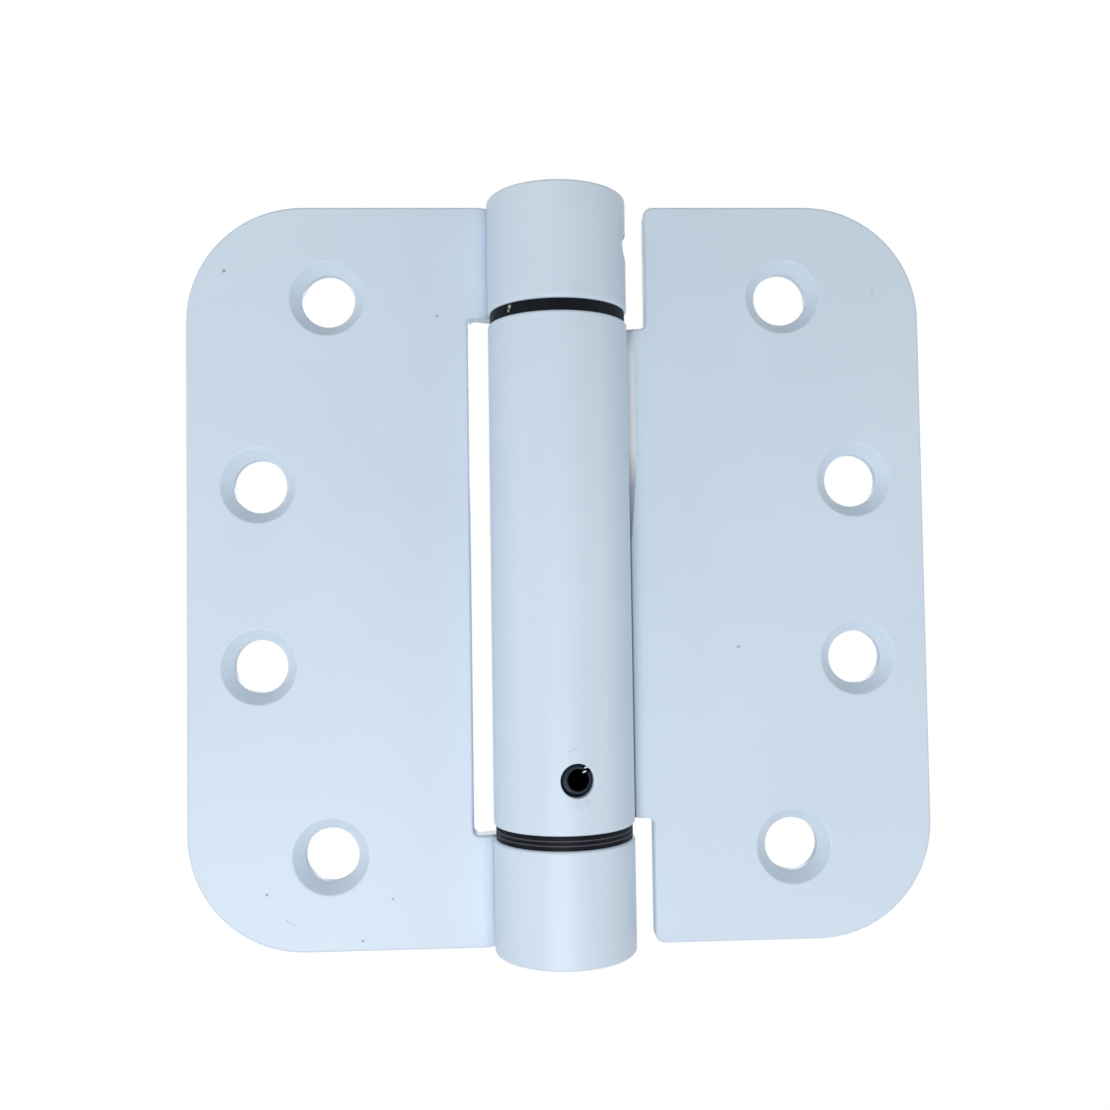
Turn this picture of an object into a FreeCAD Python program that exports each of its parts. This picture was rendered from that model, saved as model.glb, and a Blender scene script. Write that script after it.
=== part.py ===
"""Self-closing door hinge, 4 by 4 inches, with round corners and a torsion spring in its barrel.

The hinge lies open flat. +Z runs up the pin axis, the screw heads' side of both leaves faces -Y,
the frame leaf reaches to -X and the door leaf to +X. The origin is on the pin axis at mid height.
Lengths are millimetres and angles degrees. A polar angle is counted from +X towards +Y (the back).
"""
import FreeCAD, Part
import os
from math import acos, cos, pi, radians, sin, sqrt, tan

Vector = FreeCAD.Vector
UP = Vector(0, 0, 1)
ORIGIN = Vector(0, 0, 0)

# Leaves
HINGE_HEIGHT = 101.6
LEAF_REACH = 50.8  # pin axis to a leaf's outer edge
CORNER_RADIUS = 15.875
SHEET = 3.0
CLOSED_GAP = 2.5  # between the two leaves when the door is shut
NECK_LEAN = 32.0  # of the sheet between a leaf and its knuckle, towards the back
NECK_BEND_RADIUS = 0.6  # inside of the bend between a leaf and its neck
NOTCH_EDGE = 12.3  # pin axis to the leaf's edge beside the other leaf's knuckle
NOTCH_RADIUS = 0.9
TIP_RADIUS = 1.3  # door leaf's corners beside the end knuckles
DIE_ROLL = 0.3  # blanking eases the cut edges on the sheet's back, which is the barrel's outside

# Barrel
BARREL_DIAMETER = 19.05
TOP_KNUCKLE = 15.5
BOTTOM_KNUCKLE = 15.1
SEAM = 0.3  # between a curl's end and its own neck, along the barrel's outside

# Screw holes
SCREW_HOLE = 7.3
SCREW_HEAD = 10.3
SCREW_HEAD_ANGLE = 82.0
OUTER_HOLE_X = 31.6
OUTER_HOLE_Z = 38.1
INNER_HOLE_X = 41.1
INNER_HOLE_Z = 12.35

# Fits
RUNNING = 0.05  # radial, where a piece turns in another
SEATED = 0.02  # radial, where a piece is pressed in
END_PLAY = 0.05  # axial, of the centre knuckle between the end knuckles

# Bearings
BUSH_WALL = 1.95
BEARING_INSET = 0.3  # flanges and washers end this far inside the barrel
UPPER_FLANGE = 1.55
LOWER_FLANGE = 0.6
UPPER_BUSH_LENGTH = 8.0
LOWER_BUSH_LENGTH = 10.4
WASHER = 0.6
WASHER_PLAY = 0.25  # radial, of a washer on the journal
WASHER_NAMES = ("thrust_washer_lower", "thrust_washer_upper")

# Torsion spring
WIRE = 2.3
COIL_TURNS = 12.5
COIL_PLAY = 0.4  # between the coil and the bore
COIL_SEAT = 0.2  # between an end turn and the shoulder it lies against
STUB_PLAY = 0.8  # between a stub and the coil, which tightens as it is wound
STUB_LENGTH = 5.0
TANG_PLAY = 0.2  # each side of a tang in its slot
TANG_TIP = 0.2  # a tang's tip to the coil's inside
TANG_BEND = 0.3  # the wire leaves the coil this far inside it
WIRE_SIDES = 6  # the wire is drawn as a prism with this many sides
COIL_STEPS = 10  # straight runs in one turn of the coil

# Tension adjuster
ADJUSTER_RECESS = 0.6  # below the barrel's top end
ADJUSTER_NECK = 2.0  # journal below the upper bush
ADJUSTER_CHAMFER = 0.45
KEY_FLATS = 4.1
KEY_DEPTH = 5.5
PIN_HOLES = 4
PIN_DEPTH = 6.6  # pin holes below the barrel's top end
PIN_DIAMETER = 3.0
PIN_PLAY = 0.05
PIN_SEAT = 3.2  # pin axis to the bottom of a pin hole
PIN_PROUD = 0.8
PIN_CHAMFER = 0.2
WINDOW_HEIGHT = 3.6
WINDOW_START = -9.5  # polar angle of the window's front end, at the middle of its round end

# Anchor plug and roll pin
PLUG_HEAD = 13.3
ROLL_PIN_HEIGHT = 7.0  # above the centre knuckle's lower end
ROLL_PIN_TURN = 8.3  # from straight ahead, towards the door leaf
ROLL_PIN_DIAMETER = 4.4
ROLL_PIN_WALL = 0.75
ROLL_PIN_SLOT = 0.85
ROLL_PIN_SLOT_CLOCK = 45.0  # slot's direction on the pin's end, from the hinge's right towards its top
ROLL_PIN_RECESS = 0.7
ROLL_PIN_SHORT = 0.8  # its inner end to the bore's far side
ROLL_PIN_CHAMFER = 0.25

# Bottom cap
CAP_RECESS = 0.5
CAP_PLAY = 0.6  # between the cap and the lower bush
CAP_CHAMFER = 0.45

# Cutting tools reach this far past what they cut
PAST = 1.0

# Worked out from the sizes above
TOP = HINGE_HEIGHT / 2
BOTTOM = -TOP
BARREL = BARREL_DIAMETER / 2
BORE = BARREL - SHEET
BUSH_BORE = BORE - SEATED - BUSH_WALL
JOURNAL = BUSH_BORE - RUNNING
BEARING = BARREL - BEARING_INSET
TOP_KNUCKLE_END = TOP - TOP_KNUCKLE
BOTTOM_KNUCKLE_END = BOTTOM + BOTTOM_KNUCKLE
CENTRE_TOP = TOP_KNUCKLE_END - UPPER_FLANGE - END_PLAY
STACK_BOTTOM = BOTTOM_KNUCKLE_END + LOWER_FLANGE
CENTRE_BOTTOM = STACK_BOTTOM + len(WASHER_NAMES) * WASHER + END_PLAY
FRONT_FACE = CLOSED_GAP / 2
BACK_FACE = FRONT_FACE + SHEET
PIN_Z = TOP - PIN_DEPTH
PIN_PITCH = 360.0 / PIN_HOLES
PIN_ANGLE = WINDOW_START + PIN_PITCH
ROLL_PIN_Z = CENTRE_BOTTOM + ROLL_PIN_HEIGHT
ROLL_PIN_ANGLE = ROLL_PIN_TURN - 90.0
COIL_RADIUS = BORE - COIL_PLAY - WIRE / 2
STUB = COIL_RADIUS - WIRE / 2 - STUB_PLAY
LOWER_BUSH_END = BOTTOM_KNUCKLE_END - LOWER_BUSH_LENGTH
ADJUSTER_SHOULDER = CENTRE_TOP - UPPER_BUSH_LENGTH - ADJUSTER_NECK
PLUG_SHOULDER = CENTRE_BOTTOM + PLUG_HEAD
COIL_TOP = ADJUSTER_SHOULDER - COIL_SEAT - WIRE / 2
COIL_BOTTOM = PLUG_SHOULDER + COIL_SEAT + WIRE / 2
TOP_TANG_ANGLE = -360.0 * COIL_TURNS  # the coil is left handed, so opening the door winds it tighter


def polar(radius, angle, z=0.0):
    """The point at a distance from the pin axis, a polar angle and a height."""
    return Vector(radius * cos(radians(angle)), radius * sin(radians(angle)), z)


def arc(centre, radius, start, end):
    """An arc in the XY plane about a centre, between two polar angles."""
    ends = [centre + polar(radius, angle) for angle in (start, (start + end) / 2, end)]
    return Part.Arc(*ends).toShape()


def line(start, end):
    return Part.LineSegment(start, end).toShape()


def turned(*stations):
    """A turned solid from (radius, height) corners of its half section."""
    corners = [Vector(radius, 0, z) for radius, z in stations]
    half = Part.Face(Part.makePolygon(corners + corners[:1]))
    return half.revolve(ORIGIN, UP, 360)


def rod(radius, inner, outer, angle, z):
    """A radial cylinder between two distances from the pin axis."""
    return Part.makeCylinder(radius, outer - inner, polar(inner, angle, z), polar(1, angle))


def rounded_outline(corners):
    """A face in the XZ plane from (x, z, radius) corners."""
    points = [Vector(x, 0, z) for x, z, _ in corners]
    stretches = []
    for i, (_, _, radius) in enumerate(corners):
        here = points[i]
        back = (points[i - 1] - here).normalize()
        on = (points[(i + 1) % len(points)] - here).normalize()
        half = back.getAngle(on) / 2
        inward = (back + on).normalize()
        middle = here + inward * (radius / sin(half) - radius)
        stretches.append((here + back * (radius / tan(half)), middle, here + on * (radius / tan(half))))
    edges = []
    for i, (start, middle, end) in enumerate(stretches):
        edges.append(line(stretches[i - 1][2], start))
        if corners[i][2]:
            edges.append(Part.Arc(start, middle, end).toShape())
    return Part.Face(Part.Wire(edges))


def sheet_section():
    """The section of a leaf that reaches to +X: flat sheet, neck that leans to the back, curl round the pin."""
    joint = 90 - NECK_LEAN
    square = polar(1, joint)
    front_radius = NECK_BEND_RADIUS + SHEET
    bend_y = BACK_FACE + NECK_BEND_RADIUS
    bend_x = (BARREL + NECK_BEND_RADIUS - bend_y * square.y) / square.x
    bend = Vector(bend_x, bend_y, 0)
    closed = joint - acos(BORE / BARREL) * 180 / pi
    curl_end = 360 + closed - SEAM / BARREL * 180 / pi
    edges = [
        line(Vector(LEAF_REACH, FRONT_FACE, 0), Vector(LEAF_REACH, BACK_FACE, 0)),
        line(Vector(LEAF_REACH, BACK_FACE, 0), Vector(bend_x, BACK_FACE, 0)),
        arc(bend, NECK_BEND_RADIUS, 270, 180 + joint),
        line(bend - square * NECK_BEND_RADIUS, polar(BARREL, joint)),
        arc(ORIGIN, BARREL, joint, curl_end),
        line(polar(BARREL, curl_end), polar(BORE, curl_end)),
        arc(ORIGIN, BORE, curl_end, joint),
        line(polar(BORE, joint), bend - square * front_radius),
        arc(bend, front_radius, 180 + joint, 270),
        line(Vector(bend_x, FRONT_FACE, 0), Vector(LEAF_REACH, FRONT_FACE, 0)),
    ]
    return Part.Face(Part.Wire(edges))


def is_cut_edge_face(face):
    """True on the faces that the stamping cuts through the sheet, false on the sheet's own surface."""
    surface = face.Surface
    if isinstance(surface, Part.Plane):
        return abs(surface.Axis.y) < 0.5
    return abs(surface.Axis.y) > 0.5


def is_die_side(face):
    """True on the sheet's back: the flat backs of leaf and neck, the hollow between them, the barrel's outside."""
    if isinstance(face.Surface, Part.Plane):
        return face.normalAt(0, 0).y > 0.5
    return face.Surface.Radius in (NECK_BEND_RADIUS, BARREL)


def stamped_leaf(outline):
    """A leaf that reaches to +X: the section run along the pin, cut to its outline, die side eased."""
    height = UP * HINGE_HEIGHT
    sheet = sheet_section().extrude(height)
    sheet.translate(UP * BOTTOM)
    depth = 2 * (BARREL + PAST)
    cutter = rounded_outline(outline).extrude(Vector(0, depth, 0))
    cutter.translate(Vector(0, -depth / 2, 0))
    leaf = sheet.common(cutter).Solids[0]
    eased = []
    for edge in leaf.Edges:
        faces = leaf.ancestorsOfType(edge, Part.Face)
        cut_faces = [face for face in faces if is_cut_edge_face(face)]
        die_faces = [face for face in faces if not is_cut_edge_face(face) and is_die_side(face)]
        if cut_faces and die_faces:
            eased.append(edge)
    return leaf.makeChamfer(DIE_ROLL, eased).Solids[0]


def screw_hole(x, z):
    """A screw's hole with its countersink, open to the front."""
    slope = tan(radians(SCREW_HEAD_ANGLE / 2))
    hole = SCREW_HOLE / 2
    head = SCREW_HEAD / 2
    tool = turned(
        (0, -PAST),
        (head + PAST * slope, -PAST),
        (hole, (head - hole) / slope),
        (hole, SHEET + PAST),
        (0, SHEET + PAST),
    )
    tool.rotate(ORIGIN, Vector(1, 0, 0), -90)
    tool.translate(Vector(x, FRONT_FACE, z))
    return tool


def screw_holes(side):
    places = [(OUTER_HOLE_X, OUTER_HOLE_Z), (INNER_HOLE_X, INNER_HOLE_Z)]
    return [screw_hole(side * x, end * z) for x, z in places for end in (1, -1)]


def adjusting_window():
    """The slot through the top knuckle's wall, round at both ends, in which the tension pin travels."""
    half = WINDOW_HEIGHT / 2
    corners = [
        polar(BORE - PAST, WINDOW_START, PIN_Z - half),
        polar(BARREL + PAST, WINDOW_START, PIN_Z - half),
        polar(BARREL + PAST, WINDOW_START, PIN_Z + half),
        polar(BORE - PAST, WINDOW_START, PIN_Z + half),
    ]
    band = Part.Face(Part.makePolygon(corners + corners[:1])).revolve(ORIGIN, UP, PIN_PITCH)
    ends = [rod(half, BORE - PAST, BARREL + PAST, angle, PIN_Z) for angle in (WINDOW_START, PIN_ANGLE)]
    return band.fuse(ends)


def frame_leaf():
    far_side = -BARREL - PAST
    outline = [
        (far_side, BOTTOM, 0),
        (LEAF_REACH, BOTTOM, CORNER_RADIUS),
        (LEAF_REACH, TOP, CORNER_RADIUS),
        (far_side, TOP, 0),
        (far_side, TOP_KNUCKLE_END, 0),
        (NOTCH_EDGE, TOP_KNUCKLE_END, NOTCH_RADIUS),
        (NOTCH_EDGE, BOTTOM_KNUCKLE_END, NOTCH_RADIUS),
        (far_side, BOTTOM_KNUCKLE_END, 0),
    ]
    leaf = stamped_leaf(outline).mirror(ORIGIN, Vector(1, 0, 0))
    return leaf.cut(screw_holes(-1) + [adjusting_window()])


def door_leaf():
    far_side = -BARREL - PAST
    outline = [
        (far_side, CENTRE_BOTTOM, 0),
        (NOTCH_EDGE, CENTRE_BOTTOM, NOTCH_RADIUS),
        (NOTCH_EDGE, BOTTOM, TIP_RADIUS),
        (LEAF_REACH, BOTTOM, CORNER_RADIUS),
        (LEAF_REACH, TOP, CORNER_RADIUS),
        (NOTCH_EDGE, TOP, TIP_RADIUS),
        (NOTCH_EDGE, CENTRE_TOP, NOTCH_RADIUS),
        (far_side, CENTRE_TOP, 0),
    ]
    pin_hole = rod(ROLL_PIN_DIAMETER / 2, 0, BARREL + PAST, ROLL_PIN_ANGLE, ROLL_PIN_Z)
    return stamped_leaf(outline).cut(screw_holes(1) + [pin_hole])


def tang_slot(angle, low, high):
    """The cut through a stub that takes the spring's tang."""
    width = WIRE + 2 * TANG_PLAY
    length = 2 * (STUB + PAST)
    slot = Part.makeBox(length, width, high - low, Vector(-length / 2, -width / 2, low))
    return slot.rotate(ORIGIN, UP, angle)


def tension_adjuster():
    head = BORE - RUNNING
    top = TOP - ADJUSTER_RECESS
    stub_end = ADJUSTER_SHOULDER - STUB_LENGTH
    body = turned(
        (0, stub_end),
        (STUB, stub_end),
        (STUB, ADJUSTER_SHOULDER),
        (JOURNAL, ADJUSTER_SHOULDER),
        (JOURNAL, TOP_KNUCKLE_END),
        (head, TOP_KNUCKLE_END),
        (head, top - ADJUSTER_CHAMFER),
        (head - ADJUSTER_CHAMFER, top),
        (0, top),
    )
    corner = KEY_FLATS / sqrt(3)
    corners = [polar(corner, 60 * i, top - KEY_DEPTH) for i in range(6)]
    socket = Part.Face(Part.makePolygon(corners + corners[:1])).extrude(UP * (KEY_DEPTH + PAST))
    hole = PIN_DIAMETER / 2 + PIN_PLAY
    holes = [rod(hole, PIN_SEAT, head + PAST, PIN_ANGLE + PIN_PITCH * i, PIN_Z) for i in range(PIN_HOLES)]
    slot = tang_slot(TOP_TANG_ANGLE, stub_end - PAST, ADJUSTER_SHOULDER)
    return body.cut([socket, slot] + holes)


def tension_pin():
    radius = PIN_DIAMETER / 2
    length = BARREL + PIN_PROUD - PIN_SEAT
    pin = turned(
        (0, 0),
        (radius, 0),
        (radius, length - PIN_CHAMFER),
        (radius - PIN_CHAMFER, length),
        (0, length),
    )
    pin.rotate(ORIGIN, Vector(0, 1, 0), 90)
    pin.translate(Vector(PIN_SEAT, 0, PIN_Z))
    return pin.rotate(ORIGIN, UP, PIN_ANGLE)


def mitred_wire(path, ring):
    """A wire of straight runs along a path of points, mitred at each corner, from its first ring of points."""
    runs = [(after - before).normalize() for before, after in zip(path, path[1:])]
    faces = [Part.Face(Part.makePolygon(ring + ring[:1]))]
    for i, run in enumerate(runs):
        mitre = run + runs[min(i + 1, len(runs) - 1)]
        reached = [point + run * ((path[i + 1] - point).dot(mitre) / run.dot(mitre)) for point in ring]
        for k in range(len(ring)):
            side = [ring[k - 1], ring[k], reached[k], reached[k - 1], ring[k - 1]]
            faces.append(Part.Face(Part.makePolygon(side)))
        ring = reached
    faces.append(Part.Face(Part.makePolygon(ring + ring[:1])))
    return Part.Solid(Part.Shell(faces))


def torsion_spring():
    """A left handed coil whose two ends turn inward across the axis."""
    steps = round(COIL_TURNS * COIL_STEPS)
    rise = (COIL_TOP - COIL_BOTTOM) / steps
    turn = TOP_TANG_ANGLE / steps
    tip = TANG_TIP + WIRE / 2 - COIL_RADIUS
    elbow = COIL_RADIUS - TANG_BEND
    path = [polar(tip, 0, COIL_BOTTOM), polar(elbow, 0, COIL_BOTTOM)]
    path += [polar(COIL_RADIUS, turn * i, COIL_BOTTOM + rise * i) for i in range(1, steps)]
    path += [polar(elbow, TOP_TANG_ANGLE, COIL_TOP), polar(tip, TOP_TANG_ANGLE, COIL_TOP)]
    corner = WIRE / 2 / cos(pi / WIRE_SIDES)
    angles = [2 * pi * (i + 0.5) / WIRE_SIDES for i in range(WIRE_SIDES)]
    ring = [path[0] + Vector(0, corner * cos(angle), corner * sin(angle)) for angle in angles]
    return mitred_wire(path, ring)


def anchor_plug():
    head = BORE - RUNNING
    stub_end = PLUG_SHOULDER + STUB_LENGTH
    body = turned(
        (0, LOWER_BUSH_END),
        (JOURNAL, LOWER_BUSH_END),
        (JOURNAL, CENTRE_BOTTOM),
        (head, CENTRE_BOTTOM),
        (head, PLUG_SHOULDER),
        (STUB, PLUG_SHOULDER),
        (STUB, stub_end),
        (0, stub_end),
    )
    pin_hole = rod(ROLL_PIN_DIAMETER / 2, -head - PAST, head + PAST, ROLL_PIN_ANGLE, ROLL_PIN_Z)
    return body.cut([tang_slot(0, PLUG_SHOULDER, stub_end + PAST), pin_hole])


def roll_pin():
    """A rolled tube with an open slot along it, driven through the barrel's front wall and the plug."""
    outer = ROLL_PIN_DIAMETER / 2 - SEATED
    inner = outer - ROLL_PIN_WALL
    near = BARREL - ROLL_PIN_RECESS
    far = ROLL_PIN_SHORT - BORE
    pin = turned(
        (inner, far),
        (outer, far),
        (outer, near - ROLL_PIN_CHAMFER),
        (outer - ROLL_PIN_CHAMFER, near),
        (inner, near),
    )
    slot = Part.makeBox(outer + PAST, ROLL_PIN_SLOT, near - far, Vector(0, -ROLL_PIN_SLOT / 2, far))
    pin = pin.cut(slot.rotate(ORIGIN, UP, ROLL_PIN_SLOT_CLOCK))
    pin.rotate(ORIGIN, Vector(1, 0, 0), 90)
    pin.rotate(ORIGIN, UP, ROLL_PIN_TURN)
    pin.translate(UP * ROLL_PIN_Z)
    return pin


def upper_bush():
    sleeve = BORE - SEATED
    low = CENTRE_TOP - UPPER_BUSH_LENGTH
    high = CENTRE_TOP + UPPER_FLANGE
    return turned(
        (BUSH_BORE, low),
        (sleeve, low),
        (sleeve, CENTRE_TOP),
        (BEARING, CENTRE_TOP),
        (BEARING, high),
        (BUSH_BORE, high),
    )


def lower_bush():
    sleeve = BORE - SEATED
    return turned(
        (BUSH_BORE, LOWER_BUSH_END),
        (sleeve, LOWER_BUSH_END),
        (sleeve, BOTTOM_KNUCKLE_END),
        (BEARING, BOTTOM_KNUCKLE_END),
        (BEARING, STACK_BOTTOM),
        (BUSH_BORE, STACK_BOTTOM),
    )


def thrust_washer(low):
    inner = JOURNAL + WASHER_PLAY
    return turned(
        (inner, low),
        (BEARING, low),
        (BEARING, low + WASHER),
        (inner, low + WASHER),
    )


def bottom_cap():
    radius = BORE - SEATED
    low = BOTTOM + CAP_RECESS
    high = LOWER_BUSH_END - CAP_PLAY
    return turned(
        (0, low),
        (radius - CAP_CHAMFER, low),
        (radius, low + CAP_CHAMFER),
        (radius, high),
        (0, high),
    )


pieces = {
    "frame_leaf": frame_leaf(),
    "door_leaf": door_leaf(),
    "tension_adjuster": tension_adjuster(),
    "tension_pin": tension_pin(),
    "torsion_spring": torsion_spring(),
    "anchor_plug": anchor_plug(),
    "roll_pin": roll_pin(),
    "upper_bush": upper_bush(),
    "lower_bush": lower_bush(),
    "bottom_cap": bottom_cap(),
}
for place, name in enumerate(WASHER_NAMES):
    pieces[name] = thrust_washer(STACK_BOTTOM + place * WASHER)

os.makedirs("parts", exist_ok=True)
for name, shape in pieces.items():
    shape.exportStep(f"parts/{name}.step")
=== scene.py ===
"""Looks of the spring hinge: painted leaves rolled from flat blanks, finishes, camera and light.

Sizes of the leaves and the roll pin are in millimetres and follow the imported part.
Everything placed in the scene is in metres.
"""
from math import acos, asin, cos, pi, radians, sin, tan

import bmesh
import bpy
from mathutils import Matrix, Vector
from mathutils.geometry import delaunay_2d_cdt


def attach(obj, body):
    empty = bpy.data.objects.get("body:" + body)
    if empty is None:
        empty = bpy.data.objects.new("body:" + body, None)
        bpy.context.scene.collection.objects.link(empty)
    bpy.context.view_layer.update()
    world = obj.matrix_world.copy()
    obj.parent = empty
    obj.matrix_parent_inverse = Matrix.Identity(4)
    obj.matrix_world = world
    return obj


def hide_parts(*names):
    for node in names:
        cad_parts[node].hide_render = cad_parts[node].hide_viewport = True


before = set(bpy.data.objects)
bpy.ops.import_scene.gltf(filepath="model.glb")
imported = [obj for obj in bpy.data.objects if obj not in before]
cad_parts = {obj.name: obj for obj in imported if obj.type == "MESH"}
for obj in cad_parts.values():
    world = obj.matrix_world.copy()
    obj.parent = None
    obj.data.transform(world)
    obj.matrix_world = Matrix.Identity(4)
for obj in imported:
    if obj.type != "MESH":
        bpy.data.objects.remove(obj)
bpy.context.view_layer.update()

MM = 0.001

# Leaves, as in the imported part; barrel, holes, screw heads and window are given by their radii
TOP = 50.8
REACH = 50.8
CORNER = 15.875
SHEET = 3.0
FRONT = 1.25
NECK_LEAN = radians(32)
NECK_BEND = 0.6
NOTCH_EDGE = 12.3
NOTCH_RADIUS = 0.9
TIP_RADIUS = 1.3
BARREL = 9.525
TOP_KNUCKLE_END = 35.3
BOTTOM_KNUCKLE_END = -35.7
CENTRE_TOP = 33.7
CENTRE_BOTTOM = -33.85
SEAM = 0.3
SCREW_HOLE = 3.65
SCREW_HEAD = 5.15
SCREW_ANGLE = 82
SCREWS = [(31.6, 38.1), (31.6, -38.1), (41.1, 12.35), (41.1, -12.35)]
PIN_HOLE = 2.2
PIN_ANGLE = -81.7
PIN_Z = -26.85
WINDOW = 1.8
WINDOW_Z = 44.2
WINDOW_ENDS = (-9.5, 80.5)

# Edges as the paint leaves them
EDGE = 0.4
CURL_CORNER = 0.9
RIM = 0.35
HOLE_EDGE = 0.15

# Fineness of the meshes
BEND_STEPS = 8
NECK_STEPS = 4
CURL_STEPS = 88
CORNER_STEPS = 72
LEAST_CORNER_STEPS = 4
EDGE_STEPS = 4
HOLE_EDGE_STEPS = 3
SCREW_STEPS = 64
PIN_HOLE_STEPS = 48
SLOT_STEPS = 16
PIN_STEPS = 64
FLECK_STEPS = 12

# Distances below which points count as one, as level or as clear of each other, and room left round holes
SAME = 1e-6
ON_STATION = 1e-5
CLEAR = 1e-3
HOLE_SIDE_ROOM = 0.6
HOLE_END_ROOM = 0.5

# The sheet's middle line: flat, bend, neck that leans to the back, curl round the pin
HALF = SHEET / 2
BEND = NECK_BEND + HALF
CURL = BARREL - HALF
JOINT = pi / 2 - NECK_LEAN
SQUARE = Vector((cos(JOINT), sin(JOINT), 0))
NECK_WAY = Vector((-sin(JOINT), cos(JOINT), 0))
BEND_Y = FRONT + SHEET + NECK_BEND
BEND_X = (BARREL + NECK_BEND - BEND_Y * sin(JOINT)) / cos(JOINT)
BEND_CENTRE = Vector((BEND_X, BEND_Y, 0))
CURL_END = 2 * pi + JOINT - acos((BARREL - SHEET) / BARREL) - SEAM / BARREL
FLAT_END = REACH - BEND_X
BEND_END = FLAT_END + BEND * NECK_LEAN
NECK_END = BEND_END - BEND_CENTRE.dot(NECK_WAY)
SHEET_END = NECK_END + CURL * (CURL_END - JOINT)
NOTCH = REACH - NOTCH_EDGE
# Places along the sheet where its bent and curled faces are cut
STATIONS = [FLAT_END + (BEND_END - FLAT_END) * i / BEND_STEPS for i in range(BEND_STEPS + 1)]
STATIONS += [BEND_END + (NECK_END - BEND_END) * i / NECK_STEPS for i in range(1, NECK_STEPS + 1)]
STATIONS += [NECK_END + (SHEET_END - NECK_END) * i / CURL_STEPS for i in range(1, CURL_STEPS)]


def rolled(s, n):
    """Place, tangent and outward normal of a point s along the sheet's middle line and n towards its back."""
    if s <= FLAT_END:
        return Vector((REACH - s, FRONT + HALF + n, 0)), Vector((-1, 0, 0)), Vector((0, 1, 0))
    if s <= BEND_END:
        a = (s - FLAT_END) / BEND
        out = Vector((sin(a), cos(a), 0))
        return BEND_CENTRE - out * (BEND - n), Vector((-cos(a), sin(a), 0)), out
    if s <= NECK_END:
        return SQUARE * (CURL + n) - NECK_WAY * (NECK_END - s), NECK_WAY, SQUARE
    a = JOINT + (s - NECK_END) / CURL
    out = Vector((cos(a), sin(a), 0))
    return out * (CURL + n), Vector((-sin(a), cos(a), 0)), out


def curl_station(angle):
    """How far along the sheet a polar angle of the curl lies."""
    return NECK_END + CURL * (radians(angle) % (2 * pi) - JOINT)


def turned(arm, angle):
    return Vector((arm.x * cos(angle) - arm.y * sin(angle), arm.x * sin(angle) + arm.y * cos(angle)))


def rounded_loop(corners):
    """Points of a polygon with (s, z, radius) corners, with the stations where it crosses them."""
    points = [Vector((s, z)) for s, z, _ in corners]
    loop = []
    for i, (_, _, radius) in enumerate(corners):
        here = points[i]
        back = (points[i - 1] - here).normalized()
        on = (points[(i + 1) % len(points)] - here).normalized()
        half = back.angle(on) / 2
        centre = here + (back + on).normalized() * (radius / sin(half))
        start = here + back * (radius / tan(half)) - centre
        sweep = pi - 2 * half
        turn = 1 if back.x * on.y - back.y * on.x < 0 else -1
        steps = max(LEAST_CORNER_STEPS, round(sweep / (2 * pi) * CORNER_STEPS))
        for k in range(steps + 1):
            loop.append(centre + turned(start, turn * sweep * k / steps))
    filled = []
    for i, here in enumerate(loop):
        after = loop[(i + 1) % len(loop)]
        filled.append(here)
        if abs(after.y - here.y) < SAME:
            low, high = sorted((here.x, after.x))
            between = [s for s in STATIONS if low + CLEAR < s < high - CLEAR]
            if after.x < here.x:
                between.reverse()
            filled += [Vector((s, here.y)) for s in between]
    return filled


def circle(s, z, radius, count):
    """Points of a hole, clockwise."""
    turns = [2 * pi * i / count for i in range(count)]
    return [Vector((s - radius * cos(a), z + radius * sin(a))) for a in turns]


def slot_loop(start, end, z, radius):
    """A slot with round ends, clockwise, its straight sides cut at each station."""
    inside = [s for s in STATIONS if start + CLEAR < s < end - CLEAR]
    turns = [pi * k / SLOT_STEPS for k in range(SLOT_STEPS + 1)]
    near = [Vector((start - radius * sin(a), z - radius * cos(a))) for a in turns]
    far = [Vector((end + radius * sin(a), z + radius * cos(a))) for a in turns]
    top = [Vector((s, z + radius)) for s in inside]
    bottom = [Vector((s, z - radius)) for s in reversed(inside)]
    return near + top + far + bottom


def edge_rows(path, radii, steps):
    """Rows of (place, normal) over an edge: the rounded corners of a path in offset and depth."""
    rows = []
    for i, radius in enumerate(radii, 1):
        here = Vector(path[i])
        to = (here - Vector(path[i - 1])).normalized()
        on = (Vector(path[i + 1]) - here).normalized()
        turn = acos(max(-1, min(1, to.dot(on))))
        start = Vector((to.y, -to.x))
        centre = here - to * (radius * tan(turn / 2)) - start * radius
        for k in range(steps + 1):
            normal = turned(start, turn * k / steps)
            rows.append((centre + normal * radius, normal))
    return rows


def miters(loop):
    """Outward unit normal and offset direction at each point of a loop with its material to the left."""
    found = []
    for i, here in enumerate(loop):
        a = (here - loop[i - 1]).normalized()
        b = (loop[(i + 1) % len(loop)] - here).normalized()
        one, two = Vector((a.y, -a.x)), Vector((b.y, -b.x))
        found.append(((one + two).normalized(), (one + two) / (1 + one.dot(two))))
    return found


def within(point, loop):
    """Whether a point lies inside a loop."""
    inside = False
    for i, b in enumerate(loop):
        a = loop[i - 1]
        if (a.y > point.y) != (b.y > point.y):
            if point.x < (b.x - a.x) * (point.y - a.y) / (b.y - a.y) + a.x:
                inside = not inside
    return inside


def placed(name, mesh, body, node):
    """A piece that rides a body, and stands for a node if one is given."""
    piece = bpy.data.objects.new(name, mesh)
    bpy.context.scene.collection.objects.link(piece)
    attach(piece, body)
    if node:
        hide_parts(node)
    return piece


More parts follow.
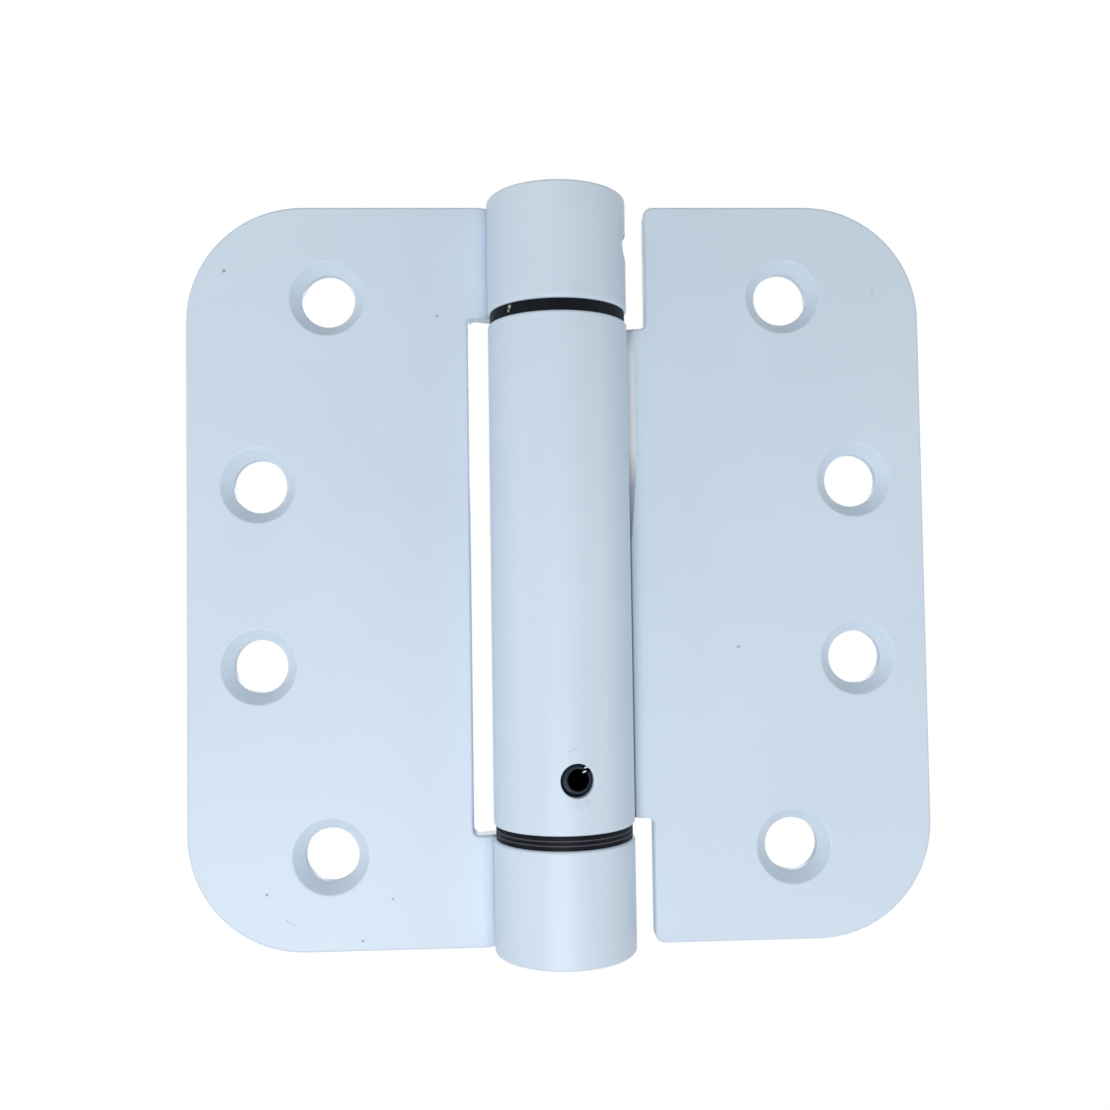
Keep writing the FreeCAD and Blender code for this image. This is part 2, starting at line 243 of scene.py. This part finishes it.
class Blank:
    """A leaf's mesh in the making: points of the sheet, and faces between them."""

    def __init__(self, side):
        self.side = side
        self.points = []
        self.normals = []
        self.faces = []

    def add(self, s, z, n, normal):
        """A point and its normal, the latter as parts along the sheet, up the pin and out of the sheet."""
        place, along, out = rolled(s, n)
        way = along * normal[0] + Vector((0, 0, normal[1])) + out * normal[2]
        self.points.append((place.x * self.side, place.y, z))
        self.normals.append((way.x * self.side, way.y, way.z))
        return len(self.points) - 1

    def edge(self, loop, rows, warp=lambda u, n: u):
        """Faces over the sheet's edge along a loop. Returns its first and last row as (index, s, z)."""
        grid = []
        ways = miters(loop)
        for (offset, depth), normal in rows:
            row = []
            for here, (out, miter) in zip(loop, ways):
                u, z = here + miter * offset
                s = warp(u, depth)
                way = (out.x * normal.x, out.y * normal.x, normal.y)
                row.append((self.add(s, z, depth, way), s, z))
            grid.append(row)
        for a, b in zip(grid, grid[1:]):
            for i in range(len(loop)):
                self.faces.append((a[i - 1][0], a[i][0], b[i][0], b[i - 1][0]))
        return grid[0], grid[-1]

    def skin(self, outer, holes, depth):
        """Fills one side of the sheet between its rows of edge points."""
        loops = [outer] + holes
        index = [p[0] for loop in loops for p in loop]
        flat = [Vector(p[1:]) for loop in loops for p in loop]
        edges = []
        first = 0
        for loop in loops:
            edges += [(first + i, first + (i + 1) % len(loop)) for i in range(len(loop))]
            first += len(loop)
        normal = (0, 0, 1 if depth > 0 else -1)
        for s in STATIONS:
            ends = [i for i in range(len(outer)) if abs(flat[i].x - s) < ON_STATION]
            ends.sort(key=lambda i: flat[i].y)
            for low, high in zip(ends[::2], ends[1::2]):
                cuts = [low]
                for hole in holes:
                    reach = [p[1] for p in hole]
                    heights = [p[2] for p in hole]
                    crosses = flat[low].y < heights[0] < flat[high].y
                    if crosses and min(reach) - HOLE_SIDE_ROOM < s < max(reach) + HOLE_SIDE_ROOM:
                        for z in (min(heights) - HOLE_END_ROOM, max(heights) + HOLE_END_ROOM):
                            index.append(self.add(s, z, depth, normal))
                            flat.append(Vector((s, z)))
                            cuts.append(len(flat) - 1)
                cuts.append(high)
                edges += list(zip(cuts[::2], cuts[1::2]))
        verts, _, tris, origins, _, _ = delaunay_2d_cdt(flat, edges, [], 1, SAME)
        outlines = [[Vector(p[1:]) for p in hole] for hole in holes]
        for tri in tris:
            centre = sum((verts[i] for i in tri), Vector((0, 0))) / len(tri)
            if not any(within(centre, outline) for outline in outlines):
                self.faces.append(tuple(index[origins[i][0]] for i in tri))

    def finish(self, name, body, node):
        """The leaf as a piece, its faces turned outward and its normals as the sheet has them."""
        mesh = bpy.data.meshes.new(name)
        mesh.from_pydata([Vector(p) * MM for p in self.points], [], self.faces)
        work = bmesh.new()
        work.from_mesh(mesh)
        bmesh.ops.recalc_face_normals(work, faces=work.faces)
        work.to_mesh(mesh)
        work.free()
        mesh.polygons.foreach_set("use_smooth", [True] * len(mesh.polygons))
        mesh.normals_split_custom_set_from_vertices(self.normals)
        return placed(name, mesh, body, node)


# Paths over the sheet's edges, from its front to its back
STRAIGHT = [(-1, -HALF), (0, -HALF), (0, HALF), (-1, HALF)]
SCREW_STEP = SCREW_HEAD - SCREW_HOLE
SCREW_SINK = SCREW_STEP / tan(radians(SCREW_ANGLE / 2)) - HALF
COUNTERSUNK = [(-1, -HALF), (0, -HALF), (SCREW_STEP, SCREW_SINK), (SCREW_STEP, HALF), (0, HALF)]
EDGE_ROWS = edge_rows(STRAIGHT, [EDGE, EDGE], EDGE_STEPS)
SCREW_ROWS = edge_rows(COUNTERSUNK, [RIM, HOLE_EDGE, HOLE_EDGE], HOLE_EDGE_STEPS)
HOLE_ROWS = edge_rows(STRAIGHT, [HOLE_EDGE, HOLE_EDGE], HOLE_EDGE_STEPS)


def rolled_leaf(name, side, body, node, outline, curl_loops):
    """A leaf cut from sheet, bent and curled round the pin, with its countersunk holes."""
    blank = Blank(side)
    front, back = blank.edge(rounded_loop(outline), EDGE_ROWS)
    fronts, backs = [], []
    for x, z in SCREWS:
        a, b = blank.edge(circle(REACH - x, z, SCREW_HEAD, SCREW_STEPS), SCREW_ROWS)
        fronts.append(a)
        backs.append(b)
    for loop, warp in curl_loops:
        a, b = blank.edge(loop, HOLE_ROWS, warp)
        fronts.append(a)
        backs.append(b)
    blank.skin(front, fronts, -HALF)
    blank.skin(back, backs, HALF)
    return blank.finish(name, body, node)


pin_station = curl_station(PIN_ANGLE)
pin_hole = circle(0, PIN_Z, PIN_HOLE, PIN_HOLE_STEPS)
window_stations = sorted(curl_station(180 - angle) for angle in WINDOW_ENDS)
frame_leaf = rolled_leaf(
    "frame_leaf_painted",
    -1,
    "frame_side",
    "frame_leaf",
    [
        (0, -TOP, CORNER),
        (SHEET_END, -TOP, CURL_CORNER),
        (SHEET_END, BOTTOM_KNUCKLE_END, CURL_CORNER),
        (NOTCH, BOTTOM_KNUCKLE_END, NOTCH_RADIUS),
        (NOTCH, TOP_KNUCKLE_END, NOTCH_RADIUS),
        (SHEET_END, TOP_KNUCKLE_END, CURL_CORNER),
        (SHEET_END, TOP, CURL_CORNER),
        (0, TOP, CORNER),
    ],
    [(slot_loop(*window_stations, WINDOW_Z, WINDOW), lambda u, n: u)],
)
door_leaf = rolled_leaf(
    "door_leaf_painted",
    1,
    "door_side",
    "door_leaf",
    [
        (0, -TOP, CORNER),
        (NOTCH, -TOP, TIP_RADIUS),
        (NOTCH, CENTRE_BOTTOM, NOTCH_RADIUS),
        (SHEET_END, CENTRE_BOTTOM, CURL_CORNER),
        (SHEET_END, CENTRE_TOP, CURL_CORNER),
        (NOTCH, CENTRE_TOP, NOTCH_RADIUS),
        (NOTCH, TOP, TIP_RADIUS),
        (0, TOP, CORNER),
    ],
    [(pin_hole, lambda u, n: pin_station + CURL * asin(u / (CURL + n)))],
)

# Roll pin: rings of (radius, distance from the hinge's axis, shift to the right) about the pin's own axis
PIN_RINGS = [
    (2.18, -5.7, 0),
    (2.18, 8.35, 0),
    (2.1, 8.55, 0.02),
    (1.72, 8.85, 0.12),
    (1.46, 8.87, 0.2),
    (1.4, 8.75, 0.22),
    (1.36, 8.2, 0.22),
    (1.36, -5.7, 0.22),
]
PIN_SLOT_MIDDLE = 49
PIN_SLOT_HALF = 13
PIN_OUT = Vector((cos(radians(PIN_ANGLE)), sin(radians(PIN_ANGLE)), 0))
PIN_RIGHT = Vector((-PIN_OUT.y, PIN_OUT.x, 0))
UP = Vector((0, 0, 1))


def pin_point(right, up, out):
    return (PIN_RIGHT * right + UP * (PIN_Z + up) + PIN_OUT * out) * MM


def linked(name, points, faces, body, node):
    """A smooth piece from points and faces."""
    mesh = bpy.data.meshes.new(name)
    mesh.from_pydata(points, [], faces)
    mesh.polygons.foreach_set("use_smooth", [True] * len(mesh.polygons))
    return placed(name, mesh, body, node)


pin_points, pin_faces = [], []
PIN_SWEEP = 360 - 2 * PIN_SLOT_HALF
for i in range(PIN_STEPS + 1):
    a = radians(PIN_SLOT_MIDDLE + PIN_SLOT_HALF + PIN_SWEEP * i / PIN_STEPS)
    for radius, out, shift in PIN_RINGS:
        pin_points.append(pin_point(radius * cos(a) + shift, radius * sin(a), out))
rings = len(PIN_RINGS)
for i in range(PIN_STEPS):
    for k in range(rings):
        a, b = i * rings + k, i * rings + (k + 1) % rings
        pin_faces.append((a, b, b + rings, a + rings))
pin_faces.append(tuple(range(rings)))
pin_faces.append(tuple(reversed(range(PIN_STEPS * rings, (PIN_STEPS + 1) * rings))))
roll_pin = linked("rolled_pin", pin_points, pin_faces, "door_side", "roll_pin")

# Flecks of paint on the pin's end: place to the right and up, length, width and tilt
FLECKS = [(1.26, 1.66, 0.34, 0.13, 20), (0.98, 1.08, 0.3, 0.1, 18)]
FLECK_EDGE = 8.95
FLECK_TOP = 9.0
fleck_points, fleck_faces = [], []
for right, up, length, width, tilt in FLECKS:
    first = len(fleck_points)
    c, s = cos(radians(tilt)), sin(radians(tilt))
    for i in range(FLECK_STEPS):
        a = 2 * pi * i / FLECK_STEPS
        u, v = length * cos(a), width * sin(a)
        fleck_points.append(pin_point(right + u * c - v * s, up + u * s + v * c, FLECK_EDGE))
        fleck_faces.append((first + i, first + (i + 1) % FLECK_STEPS, first + FLECK_STEPS))
    fleck_points.append(pin_point(right, up, FLECK_TOP))
flecks = linked("paint_flecks", fleck_points, fleck_faces, "door_side", None)

# Sockets of the colour mix node
MIX_A, MIX_B, MIX_RESULT = 6, 7, 2

# A speck's raggedness, full core and faded edge, as shares of its radius
SPECK_RAGGED = 0.9
SPECK_CORE = 0.9
SPECK_EDGE = 1.6


class Shader:
    """A material with a Principled shader, and short ways to add nodes to it."""

    def __init__(self, name, **sockets):
        self.material = bpy.data.materials.new(name)
        self.material.use_nodes = True
        self.nodes = self.material.node_tree.nodes
        self.links = self.material.node_tree.links
        self.principled = self.nodes["Principled BSDF"]
        for socket, value in sockets.items():
            self.principled.inputs[socket.replace("_", " ")].default_value = value
        self.coordinates = self.nodes.new("ShaderNodeTexCoord").outputs["Object"]

    def node(self, kind, inputs=(), **settings):
        made = self.nodes.new(kind)
        for setting, value in settings.items():
            setattr(made, setting, value)
        for socket, value in dict(inputs).items():
            if isinstance(value, bpy.types.NodeSocket):
                self.links.new(value, made.inputs[socket])
            else:
                made.inputs[socket].default_value = value
        return made

    def noise(self, scale, detail, roughness=0.5, vector=None):
        inputs = {"Scale": scale, "Detail": detail, "Roughness": roughness}
        inputs["Vector"] = vector or self.coordinates
        return self.node("ShaderNodeTexNoise", inputs).outputs["Fac"]

    def ranged(self, value, low, high, to_low, to_high):
        """A value, moved from one range to another and kept within it."""
        inputs = {"Value": value, "From Min": low, "From Max": high, "To Min": to_low, "To Max": to_high}
        return self.node("ShaderNodeMapRange", inputs).outputs["Result"]

    def ramp(self, length, ends, to_low=0, to_high=1):
        """As ranged, for a length between two ends in millimetres."""
        return self.ranged(length, ends[0] * MM, ends[1] * MM, to_low, to_high)

    def mixed(self, factor, a, b):
        made = self.node("ShaderNodeMix", {"Factor": factor}, data_type="RGBA")
        for socket, value in ((made.inputs[MIX_A], a), (made.inputs[MIX_B], b)):
            if isinstance(value, bpy.types.NodeSocket):
                self.links.new(value, socket)
            else:
                socket.default_value = value
        return made.outputs[MIX_RESULT]

    def math(self, operation, a, b):
        return self.node("ShaderNodeMath", {0: a, 1: b}, operation=operation).outputs[0]

    def bump(self, height, distance, normal=None):
        inputs = {"Height": height, "Distance": distance, "Strength": 1.0}
        if normal:
            inputs["Normal"] = normal
        return self.node("ShaderNodeBump", inputs).outputs["Normal"]

    def parts(self):
        """The three coordinates of the shaded point."""
        return self.node("ShaderNodeSeparateXYZ", {0: self.coordinates}).outputs

    def specks(self, grit, places):
        """Ragged spots, each given by its place in millimetres, radius and strength."""
        marks = None
        for x, y, z, radius, depth in places:
            place = (x * MM, y * MM, z * MM)
            ends = {0: self.coordinates, 1: place}
            gap = self.node("ShaderNodeVectorMath", ends, operation="DISTANCE").outputs["Value"]
            ragged = self.math("MULTIPLY_ADD", grit, radius * MM * SPECK_RAGGED)
            self.links.new(gap, ragged.node.inputs[2])
            mark = self.ranged(ragged, radius * MM * SPECK_CORE, radius * MM * SPECK_EDGE, depth, 0)
            marks = mark if marks is None else self.math("MAXIMUM", marks, mark)
        return marks

    def drive(self, socket, value):
        self.links.new(value, self.principled.inputs[socket])


def linear(red, green, blue):
    """A screen colour from 0 to 255 as linear light."""
    parts = [c / 255 for c in (red, green, blue)]
    return (*[c / 12.92 if c <= 0.04045 else ((c + 0.055) / 1.055) ** 2.4 for c in parts], 1)


# Tones, as screen colours
PAINT_TONES = (211, 227, 242), (214, 230, 245)
# Dirt specks, also used for the painted shade crescent under the roll pin's hole
DIRT_AND_PAINTED_SHADE = (96, 92, 92)
# Bare strip by the seam: painted shade low down, bare steel grey, and a painted highlight higher up
SEAM_PAINTED_SHADE = (124, 134, 152)
SEAM_GREY = (196, 200, 206)
SEAM_PAINTED_HIGHLIGHT = (246, 248, 252)
POLYMER_TONES = (6, 9, 14), (17, 23, 31)
# Painted highlight on the rims in the lower gap
PAINTED_RIM_HIGHLIGHT = (74, 72, 84)
# Painted glint on the upper bush's flange
PAINTED_GLINT = (196, 202, 198)

# Grains, and depths of relief in metres
PEEL_GRAIN, PEEL_DEPTH = 900, 0.00002
GRIT_GRAIN, GRIT_DEPTH = 5200, 0.000004
SCUFF_GRAIN, SCUFF_DEPTH = 700, 0.00001
DRIFT_GRAIN = 38
STAIN_GRAIN = 240
RING_GRAIN_ACROSS = 60
TONE_NOISE = (0.35, 0.65)
ROUGH_NOISE = (0.3, 0.7)

# Shine
PAINT_IOR = 1.45
PAINT_ROUGHNESS = (0.38, 0.46)
POLYMER_SPECULAR = 0.08
POLYMER_ROUGHNESS = (0.35, 0.55)
METAL_ROUGHNESS_SPREAD = (-0.08, 0.1)

# Bare strip beside the seam, with painted shade low down and a painted highlight higher up, in millimetres:
# heights where its tones change, and where it starts and ends.
# Then half the height of a painted highlight line on the washers' rims.
SEAM_GREY_RISE = (4, 13)
SEAM_HIGHLIGHT_RISE = (12, 17)
SEAM_HIGHLIGHT_FALL = (30, 33)
SEAM_REACH_LOW = 9.95
SEAM_REACH_HIGH = 10.68
SEAM_SOFTNESS = (-0.08, 0.08)
SEAM_START = (9.54, 9.58)
SEAM_BACK = (2.4, 2.6)
RIM_HIGHLIGHT_HALF = 0.09

# Share of the strip's painted highlight that is left at its top
SEAM_HIGHLIGHT_LEFT = 0.3


def bare_seam_with_painted_light(shader, colour):
    """Bare steel beside the curl's end, with a painted highlight on its upper part and painted shade lower
    down, where it narrows to a line beside the barrel.
    """
    x, y, z = shader.parts()
    high = shader.ramp(z, SEAM_GREY_RISE)
    fall = shader.ramp(z, SEAM_HIGHLIGHT_FALL, 1, SEAM_HIGHLIGHT_LEFT)
    bright = shader.math("MULTIPLY", shader.ramp(z, SEAM_HIGHLIGHT_RISE), fall)
    tone = shader.mixed(high, linear(*SEAM_PAINTED_SHADE), linear(*SEAM_GREY))
    tone = shader.mixed(bright, tone, linear(*SEAM_PAINTED_HIGHLIGHT))
    reach = shader.ranged(high, 0, 1, SEAM_REACH_LOW * MM, SEAM_REACH_HIGH * MM)
    beside = shader.ramp(shader.math("SUBTRACT", reach, x), SEAM_SOFTNESS)
    outside = shader.ramp(x, SEAM_START)
    before = shader.ramp(y, SEAM_BACK, 1, 0)
    strip = shader.math("MULTIPLY", shader.math("MULTIPLY", beside, outside), before)
    return shader.mixed(strip, colour, tone)


def paint(name, specks, seam=False):
    """Satin enamel: orange peel, a slight drift of tint, the few specks of dirt that the hinge shows, and
    painted shade under the roll pin's hole; where seam is set, a bare strip beside the seam with painted
    shade and a painted highlight.
    """
    shader = Shader(name, IOR=PAINT_IOR)
    peel = shader.noise(PEEL_GRAIN, detail=2)
    grit = shader.noise(GRIT_GRAIN, detail=3)
    drift = shader.noise(DRIFT_GRAIN, detail=3)
    tint = shader.ranged(drift, *TONE_NOISE, 0, 1)
    colour = shader.mixed(tint, *[linear(*tone) for tone in PAINT_TONES])
    colour = shader.mixed(shader.specks(grit, specks), colour, linear(*DIRT_AND_PAINTED_SHADE))
    # Door leaf: bare steel beside the seam, with painted shade low down and a painted highlight higher up
    if seam:
        colour = bare_seam_with_painted_light(shader, colour)
    shader.drive("Base Color", colour)
    shader.drive("Roughness", shader.ranged(drift, *ROUGH_NOISE, *PAINT_ROUGHNESS))
    fine = shader.bump(grit, GRIT_DEPTH)
    shader.drive("Normal", shader.bump(peel, PEEL_DEPTH, fine))
    return shader.material


# Specks of dirt, and a painted shade crescent under the roll pin's hole: place in millimetres, radius and
# strength
FRAME_SPECKS = [
    (-45.56, FRONT, 41.92, 0.28, 0.75),
    (-34.89, FRONT, 40.78, 0.3, 0.6),
    (-16.51, FRONT, 35.58, 0.2, 0.6),
    (-40.15, FRONT, -42.91, 0.22, 0.7),
    (-23.29, FRONT, -43.88, 0.2, 0.6),
    (-27.37, FRONT, -49.38, 0.22, 0.6),
    (-37.5, FRONT, -46.44, 0.14, 0.35),
    (-37.1, FRONT, -46.67, 0.14, 0.4),
    (-36.7, FRONT, -46.9, 0.14, 0.35),
    (-36.31, FRONT, -47.14, 0.14, 0.3),
    (-4.2, -8.55, 39.9, 0.45, 0.05),
    (-0.5, -9.51, 36.6, 0.6, 0.04),
    (1.8, -9.35, 36.7, 0.9, 0.05),
    (3.0, -9.04, 37.0, 0.5, 0.04),
]
DOOR_SPECKS_AND_SHADE = [
    (24.47, FRONT, -10.61, 0.22, 0.6),
    (44.39, FRONT, 39.01, 0.22, 0.25),
    (0.33, -9.52, -23.17, 0.1, 0.35),
    (0.52, -9.51, -23.0, 0.1, 0.45),
    (0.78, -9.49, -22.87, 0.1, 0.45),
    (1.02, -9.47, -22.79, 0.1, 0.4),
    (1.24, -9.44, -22.74, 0.1, 0.3),
    # Painted shade: a soft crescent under the roll pin's hole
    (0.7, -9.5, -29.7, 0.7, 0.07),
    (1.5, -9.4, -29.85, 0.8, 0.08),
    (2.4, -9.22, -29.6, 0.7, 0.07),
]
# Painted glint on the upper bush's flange: place in millimetres, radius and strength
BUSH_GLINT = [
    (-6.55, -6.5, 34.8, 0.28, 0.9),
    (-6.68, -6.36, 34.3, 0.2, 0.9),
]
# Heights of painted highlight lines on the rims in the lower gap
RIM_HIGHLIGHTS = (-34.5, -35.1)


def polymer(name, specks=(), lines=()):
    """Black bearing plastic, a little scuffed, with an optional painted glint and painted highlight lines on
    the rims at some heights.
    """
    shader = Shader(name, Specular_IOR_Level=POLYMER_SPECULAR)
    scuff = shader.noise(SCUFF_GRAIN, detail=4)
    colour = shader.mixed(scuff, *[linear(*tone) for tone in POLYMER_TONES])
    height = shader.parts()[2]
    for line in lines:
        ends = {0: height, 1: line * MM, 2: RIM_HIGHLIGHT_HALF * MM}
        on_line = shader.node("ShaderNodeMath", ends, operation="COMPARE").outputs[0]
        colour = shader.mixed(on_line, colour, linear(*PAINTED_RIM_HIGHLIGHT))
    if specks:
        marks = shader.specks(shader.noise(GRIT_GRAIN, detail=3), specks)
        colour = shader.mixed(marks, colour, linear(*PAINTED_GLINT))
    shader.drive("Base Color", colour)
    shader.drive("Roughness", shader.ranged(scuff, *ROUGH_NOISE, *POLYMER_ROUGHNESS))
    shader.drive("Normal", shader.bump(scuff, SCUFF_DEPTH))
    return shader.material


def metal(name, dark, light, rough, ring_grain, ring_depth):
    """Machined steel: fine rings round the pin axis, and a drift of tone."""
    shader = Shader(name, Metallic=1.0)
    scale = (RING_GRAIN_ACROSS, RING_GRAIN_ACROSS, ring_grain)
    squashed = shader.node("ShaderNodeMapping", {"Vector": shader.coordinates, "Scale": scale})
    rings = shader.noise(1, detail=4, roughness=0.6, vector=squashed.outputs["Vector"])
    stain = shader.noise(STAIN_GRAIN, detail=4)
    roughness = [rough + spread for spread in METAL_ROUGHNESS_SPREAD]
    shader.drive("Base Color", shader.mixed(stain, linear(*dark), linear(*light)))
    shader.drive("Roughness", shader.ranged(rings, *ROUGH_NOISE, *roughness))
    shader.drive("Normal", shader.bump(rings, ring_depth))
    return shader.material


frame_leaf.data.materials.append(paint("frame_paint", FRAME_SPECKS))
door_leaf.data.materials.append(paint("door_paint", DOOR_SPECKS_AND_SHADE, seam=True))
upper_polymer = polymer("upper_polymer", specks=BUSH_GLINT)
lower_polymer = polymer("lower_polymer", lines=RIM_HIGHLIGHTS)
turned_steel = metal(
    "turned_steel",
    dark=(150, 152, 156),
    light=(178, 180, 184),
    rough=0.34,
    ring_grain=9000,
    ring_depth=0.000006,
)
spring_steel = metal(
    "spring_steel",
    dark=(96, 97, 100),
    light=(126, 127, 130),
    rough=0.4,
    ring_grain=900,
    ring_depth=0.000004,
)
dark_steel = metal(
    "dark_pin_steel",
    dark=(24, 33, 39),
    light=(56, 62, 72),
    rough=0.42,
    ring_grain=4000,
    ring_depth=0.000005,
)
FINISHES = {
    "upper_bush": upper_polymer,
    "lower_bush": lower_polymer,
    "thrust_washer_upper": lower_polymer,
    "thrust_washer_lower": lower_polymer,
    "torsion_spring": spring_steel,
    "tension_adjuster": turned_steel,
    "tension_pin": turned_steel,
    "anchor_plug": turned_steel,
    "bottom_cap": turned_steel,
}
roll_pin.data.materials.append(dark_steel)
flecks.data.materials.append(frame_leaf.data.materials[0])
for node, finish in FINISHES.items():
    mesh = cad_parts[node].data
    mesh.materials.clear()
    mesh.materials.append(finish)

# Camera, where the photograph was taken from
PHOTO_SIZE = 1110
PHOTO_FOCAL = 1117.712
CAMERA_PLACE = Vector((-7.127, -152.222, -3.27)) * MM
PITCH, YAW, ROLL = radians(2.098), radians(-2.399), radians(0.837)
SENSOR = 36
CLIP = (0.01, 20)
lens = bpy.data.cameras.new("camera")
lens.sensor_fit = "HORIZONTAL"
lens.sensor_width = SENSOR
lens.lens = PHOTO_FOCAL / PHOTO_SIZE * lens.sensor_width
lens.clip_start, lens.clip_end = CLIP
camera = bpy.data.objects.new("camera", lens)
bpy.context.scene.collection.objects.link(camera)
turn = Matrix.Rotation(YAW, 3, "Z") @ Matrix.Rotation(PITCH, 3, "X") @ Matrix.Rotation(ROLL, 3, "Y")
right, forward, up = turn.col
facing = Matrix((right, up, -forward)).transposed().to_4x4()
camera.matrix_world = Matrix.Translation(CAMERA_PLACE) @ facing
bpy.context.scene.camera = camera

# Stage and light
FLOOR_REACH = 0.6
FLOOR_HEIGHT = -0.5
FLOOR_TONE = (0.9, 0.9, 0.9, 1)
FLOOR_ROUGHNESS = 0.9
CORNERS = [(-1, -1), (1, -1), (1, 1), (-1, 1)]
floor_mesh = bpy.data.meshes.new("floor")
floor_points = [(x * FLOOR_REACH, y * FLOOR_REACH, FLOOR_HEIGHT) for x, y in CORNERS]
floor_mesh.from_pydata(floor_points, [], [(0, 1, 2, 3)])
floor = bpy.data.objects.new("floor", floor_mesh)
bpy.context.scene.collection.objects.link(floor)
floor_shader = Shader("pale_floor", Base_Color=FLOOR_TONE, Roughness=FLOOR_ROUGHNESS)
floor_mesh.materials.append(floor_shader.material)


def area_light(name, place, power):
    """A square soft light that shines at the origin, not seen by the camera."""
    data = bpy.data.lights.new(name, "AREA")
    data.size = LIGHT_SIZE
    data.energy = power
    lamp = bpy.data.objects.new(name, data)
    lamp.location = place
    lamp.rotation_euler = (-Vector(place)).to_track_quat("-Z", "Y").to_euler()
    lamp.visible_camera = False
    bpy.context.scene.collection.objects.link(lamp)


LIGHT_SIZE = 0.2
area_light("front", (-0.05, -0.3, -0.16), 0.63)
area_light("left", (-0.45, -0.2, 0), 0.32)
area_light("right", (0.45, -0.2, 0), 0.4)
area_light("low", (0, -0.22, -0.42), 0.14)
area_light("high_left", (-0.2, -0.3, 0.28), 0.24)
area_light("back", (0.05, 0.45, 0.15), 0.6)

# A white surround as the camera and reflections see it, dimmer as light
WORLD_LIGHT = 0.225
WORLD_SEEN = 1.0
WHITE = (1, 1, 1, 1)
world = bpy.data.worlds.new("studio")
bpy.context.scene.world = world
world.use_nodes = True
nodes, links = world.node_tree.nodes, world.node_tree.links
nodes.clear()
rays = nodes.new("ShaderNodeLightPath")
seen = rays.outputs["Is Camera Ray"]
for kind in ("Is Glossy Ray", "Is Transmission Ray"):
    either = nodes.new("ShaderNodeMath")
    either.operation = "MAXIMUM"
    links.new(seen, either.inputs[0])
    links.new(rays.outputs[kind], either.inputs[1])
    seen = either.outputs[0]
shades = []
for strength in (WORLD_LIGHT, WORLD_SEEN):
    shade = nodes.new("ShaderNodeBackground")
    shade.inputs["Color"].default_value = WHITE
    shade.inputs["Strength"].default_value = strength
    shades.append(shade.outputs[0])
choose = nodes.new("ShaderNodeMixShader")
links.new(seen, choose.inputs[0])
links.new(shades[0], choose.inputs[1])
links.new(shades[1], choose.inputs[2])
output = nodes.new("ShaderNodeOutputWorld")
links.new(choose.outputs[0], output.inputs["Surface"])

bpy.context.scene.view_settings.view_transform = "Standard"
